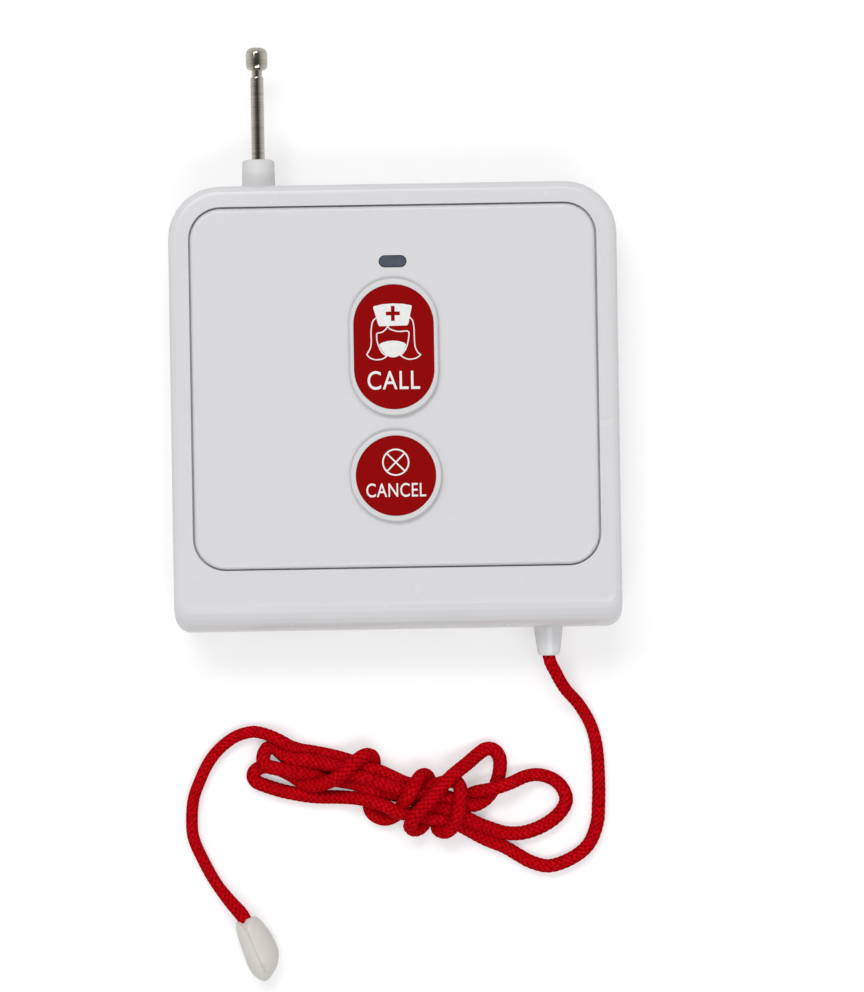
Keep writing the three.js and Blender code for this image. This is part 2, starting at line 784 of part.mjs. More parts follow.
function cordGland() {
  const bore = cordRadius + gap;
  return turnedY([
    [bore, nozzleEnd], [nozzleEndRadius - 0.35, nozzleEnd], [nozzleEndRadius, nozzleEnd + 0.5],
    [nozzleBaseRadius, -halfHeight], [nozzleBaseRadius, -innerHalfHeight], [flangeRadius, -innerHalfHeight],
    [flangeRadius, flangeTop], [bore, flangeTop], [bore, nozzleEnd],
  ], cordX, cordZ, 24);
}

function pullSlider() {
  const body = box(sliderLeft, sliderRight, sliderBottom, sliderTop, sliderLowZ, sliderHighZ);
  const arm = box(
    sliderLeft - armLength, sliderLeft + 1, armBottom, armBottom + armThickness,
    armHighZ - armHeight, armHighZ,
  );
  const bore = turnedY(rod(cordRadius + gap, sliderBottom - 1, sliderTop + 1), cordX, cordZ, 20);
  return cut(join(body, arm), bore);
}

function pullSpring() {
  const wire = springWire / 2;
  const run = springSpace - 2 * gap - springWire;
  const place = new THREE.Matrix4().setPosition(cordX, flangeTop + gap + wire, cordZ);
  return alongCurve(new Helix(springRadius - wire, springRadius - wire, run, springTurns), wire,
    springTurns * 10, 6).transform(place.toArray());
}

function pullSwitchBody() {
  const half = switchSize / 2;
  const body = box(
    pullSwitchX - half, pullSwitchX + half, pullSwitchTop - switchSize, pullSwitchTop,
    boardTopZ, boardTopZ + switchBodyHeight,
  );
  const bore = rod(
    pullPlungerRadius + runningGap, pullSwitchTop - pullPlungerHold - pullTravel - runningGap, pullSwitchTop + 1,
  );
  return cut(body, turnedY(bore, pullSwitchX, pullPlungerZ, 16));
}

const pullSwitchPlunger = () => turnedY(
  rod(pullPlungerRadius, pullSwitchTop - pullPlungerHold, pullSwitchTop + pullPlungerRise),
  pullSwitchX, pullPlungerZ, 16,
);

const cordFerrule = () => turnedY([
  [0, sliderTop + gap], [ferruleRadius, sliderTop + gap],
  [ferruleRadius, sliderTop + gap + ferruleLength - 0.4],
  [ferruleRadius - 0.4, sliderTop + gap + ferruleLength], [0, sliderTop + gap + ferruleLength],
], cordX, cordZ, 20);

// Cord: from the ferrule out of the nozzle, down to the surface and up to the hank
const restZ = cordRadius + 0.02;
const upperRoute = [
  [cordX, sliderTop, cordZ], [cordX, -32, cordZ], [cordX, -41, cordZ], [cordX, nozzleEnd, cordZ],
  [30.3, -51.9, 7.3], [32.2, -55.3, 4.8], [34.9, -58.5, 2.5], [37.2, -62.6, restZ], [38.3, -67, restZ],
  [38.6, -72.7, restZ], [38.5, -78.4, restZ], [38.1, -82.2, restZ], [36.4, -86.1, restZ],
  [33.2, -88.7, restZ], [28.8, -90.2, restZ], [25.2, -89.4, restZ], [22.6, -87.9, restZ],
  [20.5, -86.8, restZ],
];
// From the hank round to the cord end
const lowerRoute = [
  [-25.6, -63.6, 1.9], [-29.4, -63.1, 1.4], [-32.7, -63.9, restZ], [-35.8, -66.2, restZ],
  [-38.1, -69.1, restZ], [-39.8, -72.6, restZ], [-41, -75.9, restZ], [-41.4, -80, restZ],
  [-41.1, -83.7, restZ], [-39.4, -87.8, restZ], [-37.1, -92.1, 1.5], [-34.4, -95.7, 2.3],
  [-31.45, -98.65, 3.3],
];
// Outline of the knotted hank, seen from above
const hankOutline = [
  [33.2, -77.4], [32.1, -74.3], [29.7, -71.9], [26.8, -71], [23.2, -71], [20.6, -69.4], [19.8, -66.8],
  [17.1, -65.4], [13.2, -66.9], [9.2, -70.5], [3.7, -71.6], [-0.2, -71.2], [-6.8, -67], [-13.9, -65.9],
  [-22.5, -64.9], [-27.2, -65.8], [-29.8, -68.3], [-31.4, -71.6], [-29.3, -74.4], [-24.6, -76.5],
  [-14.6, -77.4], [-8.8, -77.7], [-3.3, -80.9], [0.5, -83.3], [8.2, -84.3], [13.3, -82.8], [20.1, -85],
  [25, -84.7], [28.8, -83], [31.7, -80.7],
];
const hankHeight = 5.6;
const hankRound = 1.2;

const cordCurve = (route) => new THREE.CatmullRomCurve3(
  route.map((point) => new THREE.Vector3(...point)), false, 'centripetal',
);

function hank() {
  const outline = new THREE.Shape(
    new THREE.SplineCurve([...hankOutline, hankOutline[0]].map((point) => new THREE.Vector2(...point)))
      .getPoints(44).slice(0, -1),
  );
  const geometry = new THREE.ExtrudeGeometry(outline, {
    depth: hankHeight - 2 * hankRound,
    bevelThickness: hankRound,
    bevelSize: hankRound,
    bevelOffset: -hankRound,
    bevelSegments: 2,
  });
  return solidOf(geometry.translate(0, 0, hankRound));
}

// Cord end: two half shells round the cord, its bore at the top and a hollow for the knot
function toggleHalf(side) {
  const length = toggleLength;
  const r = toggleRadius;
  const bore = cordRadius + gap;
  const body = turnedY([
    [0, -length], [r * 0.5, -length], [r * 0.78, -length + 0.5], [r * 0.93, -length * 0.84],
    [r, -length * 0.62], [r * 0.97, -length * 0.42], [r * 0.86, -length * 0.22],
    [toggleTopRadius + 0.3, -0.6], [toggleTopRadius, 0], [0, 0],
  ], 0, 0, 32).scale([side > 0 ? toggleSpread.right : toggleSpread.left, 1, 1]);
  const hollow = join(
    turnedY(rod(bore, -length * 0.5, 1), 0, 0, 16),
    turnedY(rod(toggleCavityRadius, -length * 0.75, -length * 0.4), 0, 0, 16),
  );
  const away = box(...(side > 0 ? [-2 * r, gap / 2] : [-gap / 2, 2 * r]), -2 * length, 2, -2 * r, 2 * r);
  return cut(body, hollow, away);
}

// Finishes
const finish = (color, roughness, metalness = 0) => ({ color, roughness, metalness });
const finishes = {
  whiteShell: finish(0xd9dadb, 0.42),
  whitePanel: finish(0xdcdddd, 0.34),
  whiteCap: finish(0xdedede, 0.4),
  redPrint: finish(0x960306, 0.38),
  smokedLens: finish(0x5b6470, 0.2),
  greyCollar: finish(0xc4c5c7, 0.55),
  nickel: finish(0x9a9790, 0.22, 1),
  steel: finish(0xb4b6b8, 0.35, 1),
  brass: finish(0xb9a26a, 0.35, 1),
  boardGreen: finish(0x1f5a36, 0.45),
  blackPlastic: finish(0x1b1c1e, 0.5),
  whiteInner: finish(0xcfd0d1, 0.5),
  batteryWrap: finish(0x3a4a72, 0.35),
  redCord: finish(0xa80a1c, 0.85),
  creamEnd: finish(0xd8d5cc, 0.45),
};

function pieces() {
  const call = [callWidth, callHeight];
  const cancel = [cancelDiameter, cancelDiameter];
  const cancelRims = [cancelRim, cancelRim];
  const lampPlace = [0, lensY];
  return [
    ['front_housing', frontHousing(), 'whiteShell'],
    ['back_cover', backCover(), 'whiteShell'],
    ['battery_door', batteryDoor(), 'whiteShell'],
    ['front_panel', frontPanel(), 'whitePanel'],
    ['call_button', buttonPiece(call, callPlug, callRim, callY), 'whiteCap'],
    ['call_label', labelPiece(call, callRim, callY), 'redPrint'],
    ['cancel_button', buttonPiece(cancel, cancelPlug, cancelRims, cancelY), 'whiteCap'],
    ['cancel_label', labelPiece(cancel, cancelRims, cancelY), 'redPrint'],
    ['indicator_lens', indicatorLens(), 'smokedLens'],
    ['indicator_lamp', block(lampPlace, lampSize, boardTopZ), 'whiteInner'],
    ['circuit_board', circuitBoard(), 'boardGreen'],
    ['call_switch_body', switchBody(callY), 'blackPlastic'],
    ['call_switch_plunger', switchPlunger(callY), 'blackPlastic'],
    ['cancel_switch_body', switchBody(cancelY), 'blackPlastic'],
    ['cancel_switch_plunger', switchPlunger(cancelY), 'blackPlastic'],
    ['controller_chip', block(chipPlace, chipSize, boardTopZ), 'blackPlastic'],
    ['radio_module', block(radioPlace, radioSize, boardTopZ), 'steel'],
    ['crystal', block(crystalPlace, crystalSize, boardTopZ), 'steel'],
    ['storage_capacitor', capacitor(), 'blackPlastic'],
    ['aerial_bush', aerialBush(), 'greyCollar'],
    ['aerial_nut', aerialNut(), 'steel'],
    ['aerial_base_tube', aerialBaseTube(), 'brass'],
    ['aerial_middle_tube', aerialMiddleTube(), 'nickel'],
    ['aerial_tip_rod', aerialTipRod(), 'nickel'],
    ['aerial_cap', aerialCap(), 'nickel'],
    ['aerial_contact_clip', aerialContactClip(), 'brass'],
    ['battery', battery(), 'batteryWrap'],
    ['battery_spring_contact', springContact(), 'steel'],
    ['battery_plate_contact', contactPlate(bayLeft), 'steel'],
    ['cord_gland', cordGland(), 'whiteShell'],
    ['cord_ferrule', cordFerrule(), 'steel'],
    ['pull_slider', pullSlider(), 'whiteInner'],
    ['pull_spring', pullSpring(), 'steel'],
    ['pull_switch_body', pullSwitchBody(), 'blackPlastic'],
    ['pull_switch_plunger', pullSwitchPlunger(), 'blackPlastic'],
    ...housingScrews.map((place, i) => [
      `housing_screw_${i + 1}`, screw(place, screwSink, screwHeadRadius, screwHeadHeight, screwLength), 'steel',
    ]),
    ...boardScrews.map((place, i) => [
      `board_screw_${i + 1}`, screw(place, boardBottomZ, boardScrewHeadRadius, boardScrewHeadHeight, boardScrewLength),
      'steel',
    ]),
    ['pull_cord_upper', alongCurve(cordCurve(upperRoute), cordRadius, 34), 'redCord'],
    ['pull_cord_hank', hank(), 'redCord'],
    ['pull_cord_lower', alongCurve(cordCurve(lowerRoute), cordRadius, 26), 'redCord'],
  ];
}

function meshOf([name, solid, finishName]) {
  const mesh = new THREE.Mesh(geometryOf(solid), new THREE.MeshStandardMaterial(finishes[finishName]));
  mesh.name = name;
  return mesh;
}

// The cord end lies on the surface, turned to follow the cord
function cordEnd() {
  const group = new THREE.Group();
  group.add(meshOf(['toggle_shell_left', toggleHalf(-1), 'creamEnd']));
  group.add(meshOf(['toggle_shell_right', toggleHalf(1), 'creamEnd']));
  group.rotation.z = toggleTurn * Math.PI / 180;
  group.position.set(...toggleTip, toggleRadius);
  return group;
}

const callButton = new THREE.Group();
callButton.name = 'bed_call_button';
callButton.add(...pieces().map(meshOf), cordEnd());

export default callButton;
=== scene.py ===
import math

import bmesh
import bpy
import numpy as np
from mathutils import Matrix, Vector


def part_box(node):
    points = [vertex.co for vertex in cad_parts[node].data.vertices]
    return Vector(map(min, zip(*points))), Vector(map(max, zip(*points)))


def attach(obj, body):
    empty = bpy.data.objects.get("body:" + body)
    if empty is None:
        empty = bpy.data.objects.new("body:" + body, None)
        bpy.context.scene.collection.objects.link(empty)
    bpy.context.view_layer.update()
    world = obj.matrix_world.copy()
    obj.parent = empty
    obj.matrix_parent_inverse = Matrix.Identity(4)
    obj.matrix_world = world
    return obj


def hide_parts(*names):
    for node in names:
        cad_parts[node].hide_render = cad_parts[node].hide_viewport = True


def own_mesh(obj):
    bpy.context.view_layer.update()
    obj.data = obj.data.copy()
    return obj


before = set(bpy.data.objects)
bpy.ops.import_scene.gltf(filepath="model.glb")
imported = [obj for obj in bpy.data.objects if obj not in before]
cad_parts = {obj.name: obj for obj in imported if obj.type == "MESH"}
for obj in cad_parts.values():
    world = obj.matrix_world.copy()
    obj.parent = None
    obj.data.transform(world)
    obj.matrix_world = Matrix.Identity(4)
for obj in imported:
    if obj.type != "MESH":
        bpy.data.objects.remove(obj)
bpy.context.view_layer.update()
mm = 0.001  # the lists below are in millimetres, Blender is in metres
print("frame loaded:", len(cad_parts), "nodes")


# Camera, straight above the unit as it lies on its back
viewpoint = {
    "place": (6.8, -17.2, 700.0),
    "roll": -0.95,  # degrees
    "angle": 13.85,  # degrees across the picture
}


def addCamera():
    lens = bpy.data.cameras.new("camera")
    lens.sensor_fit = "HORIZONTAL"
    lens.angle = math.radians(viewpoint["angle"])
    lens.clip_start = 0.01
    camera = bpy.data.objects.new("camera", lens)
    camera.location = Vector(viewpoint["place"]) * mm
    camera.rotation_euler = (0, 0, math.radians(viewpoint["roll"]))
    bpy.context.scene.collection.objects.link(camera)
    bpy.context.scene.camera = camera


addCamera()


# Colours are written as they look on screen, 0 to 255
def linear(color):
    return tuple((c / 255 / 12.92) if c < 10.3 else ((c / 255 + 0.055) / 1.055) ** 2.4 for c in color)


class Finish:
    # a material with short names for the nodes it is made of
    def __init__(self, name, color, roughness, metallic=0.0):
        self.material = bpy.data.materials.new(name)
        self.material.use_nodes = True
        self.tree = self.material.node_tree
        self.shader = self.tree.nodes["Principled BSDF"]
        self.color = color
        self.set("Base Color", (*linear(color), 1))
        self.set("Roughness", roughness)
        self.set("Metallic", metallic)
        self.coords = self.node("ShaderNodeTexCoord").outputs["Object"]

    def set(self, socket, value):
        self.shader.inputs[socket].default_value = value

    def link(self, output, socket):
        self.tree.links.new(output, socket)

    def node(self, kind, inputs=None, **settings):
        node = self.tree.nodes.new(kind)
        for key, value in settings.items():
            setattr(node, key, value)
        for key, value in (inputs or {}).items():
            if isinstance(value, bpy.types.NodeSocket):
                self.link(value, node.inputs[key])
            else:
                node.inputs[key].default_value = value
        return node

    def noise(self, scale, detail=2.0, stretch=None):
        place = self.coords
        if stretch:
            place = self.node("ShaderNodeMapping", {"Vector": place, "Scale": stretch}).outputs["Vector"]
        return self.node(
            "ShaderNodeTexNoise", {"Vector": place, "Scale": scale, "Detail": detail},
        ).outputs["Fac"]

    def ramp(self, factor, stops, interpolation="LINEAR"):
        node = self.node("ShaderNodeValToRGB", {"Fac": factor})
        ramp = node.color_ramp
        ramp.interpolation = interpolation
        while len(ramp.elements) < len(stops):
            ramp.elements.new(0.5)
        for element, (at, color) in zip(ramp.elements, stops):
            element.position = at
            element.color = (*linear(color), 1)
        return node.outputs["Color"]

    def paint(self, factor, stops, interpolation="LINEAR"):
        self.link(self.ramp(factor, stops, interpolation), self.shader.inputs["Base Color"])

    def mottle(self, scale, spread):
        darker = tuple(c * (1 - spread) for c in self.color)
        self.paint(self.noise(scale, 3.0), [(0.35, darker), (0.65, self.color)])

    def polish(self, factor, low, high):
        spread = self.node("ShaderNodeMapRange", {"Value": factor, "To Min": low, "To Max": high})
        self.link(spread.outputs["Result"], self.shader.inputs["Roughness"])

    def relief(self, height, depth, strength=1.0):
        bump = self.node("ShaderNodeBump", {"Height": height, "Distance": depth * mm, "Strength": strength})
        self.link(bump.outputs["Normal"], self.shader.inputs["Normal"])


# Moulded plastic: a fine spark-eroded grain, faint flow marks and uneven gloss
def moulded(name, color, roughness, grain=3200, depth=0.005, spread=0.01, gloss=0.01):
    finish = Finish(name, color, roughness)
    finish.mottle(90, spread)
    finish.polish(finish.noise(220), roughness - gloss, roughness + gloss)
    finish.relief(finish.noise(grain, 3.0), depth, 0.15)
    return finish


# Turned or drawn metal: tool marks run round the axis given by stretch
def turnedMetal(name, color, roughness, stretch):
    finish = Finish(name, color, roughness, 1.0)
    marks = finish.noise(1.0, 4.0, stretch)
    finish.paint(marks, [(0.3, tuple(c * 0.86 for c in color)), (0.7, color)])
    finish.polish(marks, roughness * 0.75, roughness * 1.3)
    finish.relief(marks, 0.004, 0.4)
    return finish


def boardFinish(name):
    finish = Finish(name, (34, 92, 56), 0.42)
    tracks = finish.node("ShaderNodeTexBrick", {
        "Vector": finish.coords, "Scale": 120.0, "Mortar Size": 0.035, "Mortar Smooth": 0.2,
        "Brick Width": 0.62, "Row Height": 0.19,
    }, offset=0.37).outputs["Fac"]
    finish.paint(tracks, [(0.0, (30, 84, 50)), (1.0, (58, 128, 76))])
    finish.relief(tracks, 0.03, 0.6)
    return finish


def batteryFinish(name):
    finish = Finish(name, (48, 60, 92), 0.32)
    low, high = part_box("battery")
    along = finish.node("ShaderNodeSeparateXYZ", {"Vector": finish.coords}).outputs["X"]
    share = finish.node("ShaderNodeMapRange", {"Value": along, "From Min": low.x, "From Max": high.x})
    finish.paint(share.outputs["Result"], [
        (0.0, (176, 176, 172)), (0.07, (196, 150, 74)), (0.32, (232, 230, 222)),
        (0.345, (46, 58, 92)), (0.97, (176, 176, 172)),
    ], "CONSTANT")
    finish.relief(finish.noise(1800), 0.01, 0.3)
    return finish


def printFinish(name, color):
    finish = Finish(name, color, 0.5)
    finish.mottle(900, 0.03)
    finish.relief(finish.noise(5200, 2.0), 0.008, 0.4)
    finish.set("Specular IOR Level", 0.04)
    return finish


def lensFinish(name):
    finish = Finish(name, (86, 95, 107), 0.14)
    finish.mottle(500, 0.08)
    finish.relief(finish.noise(900), 0.006, 0.3)
    finish.set("Coat Weight", 0.2)
    finish.set("Coat Roughness", 0.06)
    return finish


# Braided polyester: its crests and valleys come with the mesh, its fibres from a fine noise. The colour is
# painted darker in the valleys and lighter on the crests, which is painted shade and painted light, and the
# fibre noise adds random tone.
def cordFinish(name):
    finish = Finish(name, (160, 0, 10), 0.8)
    crest = finish.node("ShaderNodeAttribute", attribute_name="crest").outputs["Fac"]
    fibre = finish.noise(1500, 4.0)
    # painted shade in the braid's valleys and painted light on its crests, from the braid height
    crestShade = finish.node("ShaderNodeMath", {0: crest, 1: 0.5}, operation="MULTIPLY").outputs["Value"]
    both = finish.node("ShaderNodeMath", {0: fibre, 1: 0.75, 2: crestShade}, operation="MULTIPLY_ADD")
    finish.paint(both.outputs["Value"], [
        (0.3, (88, 0, 0)), (0.5, (142, 0, 4)), (0.72, (184, 1, 12)), (0.95, (216, 8, 28)),
    ])
    finish.relief(fibre, 0.08, 0.6)
    finish.set("Specular IOR Level", 0.03)
    return finish


finishes = {
    "white_shell": moulded("white_shell", (226, 226, 228), 0.27),
    "white_panel": moulded("white_panel", (225, 225, 227), 0.32, grain=2600, depth=0.004),
    "white_cap": moulded("white_cap", (222, 222, 223), 0.36),
    "red_print": printFinish("red_print", (150, 2, 4)),
    "smoked_lens": lensFinish("smoked_lens"),
    "white_inner": moulded("white_inner", (208, 209, 210), 0.5, spread=0.04),
    "board_green": boardFinish("board_green"),
    "black_plastic": moulded("black_plastic", (28, 29, 31), 0.45, spread=0.15),
    "grey_collar": moulded("grey_collar", (224, 224, 225), 0.5, grain=2200, depth=0.01),
    "nickel": turnedMetal("nickel", (182, 177, 166), 0.14, (60, 3600, 60)),
    "steel": turnedMetal("steel", (180, 182, 184), 0.3, (900, 900, 5200)),
    "brass_parts": turnedMetal("brass_parts", (196, 168, 104), 0.3, (900, 900, 5200)),
    "battery_wrap": batteryFinish("battery_wrap"),
    "red_cord": cordFinish("red_cord"),
    "cream_end": moulded("cream_end", (224, 221, 213), 0.4, grain=1500, depth=0.008, spread=0.03),
}
whiteInk = printFinish("white_ink", (244, 244, 242))
print("finishes ready:", len(finishes) + 1)


# The CAD pieces come with flat facets: their round faces are shaded round, their edges stay crisp
def roundShading():
    group = bpy.data.node_groups.new("round_shading", "GeometryNodeTree")
    group.interface.new_socket("Geometry", in_out="INPUT", socket_type="NodeSocketGeometry")
    group.interface.new_socket("Geometry", in_out="OUTPUT", socket_type="NodeSocketGeometry")
    add, link = group.nodes.new, group.links.new
    start, end = add("NodeGroupInput"), add("NodeGroupOutput")
    plain = add("GeometryNodeRemoveAttribute")
    plain.inputs["Name"].default_value = "custom_normal"
    weld = add("GeometryNodeMergeByDistance")
    weld.inputs["Distance"].default_value = 0.002 * mm
    faces = add("GeometryNodeSetShadeSmooth")
    edges = add("GeometryNodeSetShadeSmooth")
    edges.domain = "EDGE"
    edges.inputs["Shade Smooth"].default_value = False
    angle = add("GeometryNodeInputMeshEdgeAngle")
    sharp = add("FunctionNodeCompare")
    sharp.operation = "GREATER_THAN"
    sharp.inputs["B"].default_value = math.radians(32)
    allSmooth = add("GeometryNodeSetShadeSmooth")
    allSmooth.domain = "EDGE"
    link(start.outputs["Geometry"], plain.inputs["Geometry"])
    link(plain.outputs["Geometry"], weld.inputs["Geometry"])
    link(weld.outputs["Geometry"], faces.inputs["Geometry"])
    link(faces.outputs["Geometry"], allSmooth.inputs["Geometry"])
    link(allSmooth.outputs["Geometry"], edges.inputs["Geometry"])
    link(angle.outputs["Unsigned Angle"], sharp.inputs["A"])
    link(sharp.outputs["Result"], edges.inputs["Selection"])
    link(edges.outputs["Geometry"], end.inputs["Geometry"])
    return group


rounding = roundShading()


def shadeRound(piece):
    piece.modifiers.new("round_shading", "NODES").node_group = rounding
    piece.modifiers.new("face_weight", "WEIGHTED_NORMAL").keep_sharp = True


def dressNodes():
    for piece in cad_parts.values():
        for slot in piece.material_slots:
            slot.material = finishes[slot.material.name.split(".")[0]].material
        shadeRound(piece)


dressNodes()
print("frame dressed")


# Small helpers for the pieces made here
def addPiece(name, mesh, body, finish):
    piece = bpy.data.objects.new(name, mesh)
    bpy.context.scene.collection.objects.link(piece)
    mesh.materials.append(finish.material)
    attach(piece, body)
    return piece


def smoothLine(points, perSpan=8):
    rows = [np.array(p, float) for p in points]
    rows = [2 * rows[0] - rows[1]] + rows + [2 * rows[-1] - rows[-2]]
    line = []
    for a, b, c, d in zip(rows, rows[1:], rows[2:], rows[3:]):
        for t in np.arange(perSpan) / perSpan:
            line.append(0.5 * (2 * b + (c - a) * t + (2 * a - 5 * b + 4 * c - d) * t * t
                               + (3 * b - a - 3 * c + d) * t ** 3))
    line.append(rows[-2])
    return np.array(line)


def evenly(line, step):
    along = np.concatenate([[0], np.cumsum(np.linalg.norm(np.diff(line, axis=0), axis=1))])
    marks = np.linspace(0, along[-1], int(round(along[-1] / step)) + 1)
    return np.stack([np.interp(marks, along, line[:, k]) for k in range(line.shape[1])], axis=1)


# A skin over rings of points, each ring the same count, closed by a fan at both ends
def skin(name, rings):
    count, sides = rings.shape[:2]
    corner = np.arange(count * sides).reshape(count, sides)
    after = np.roll(corner, -1, axis=1)
    faces = np.stack([corner[:-1], after[:-1], after[1:], corner[1:]], axis=-1).reshape(-1, 4).tolist()
    faces += [corner[0, ::-1].tolist(), corner[-1].tolist()]
    mesh = bpy.data.meshes.new(name)
    mesh.from_pydata((rings.reshape(-1, 3) * mm).tolist(), [], faces)
    mesh.polygons.foreach_set("use_smooth", [True] * len(mesh.polygons))
    mesh.update()
    return mesh


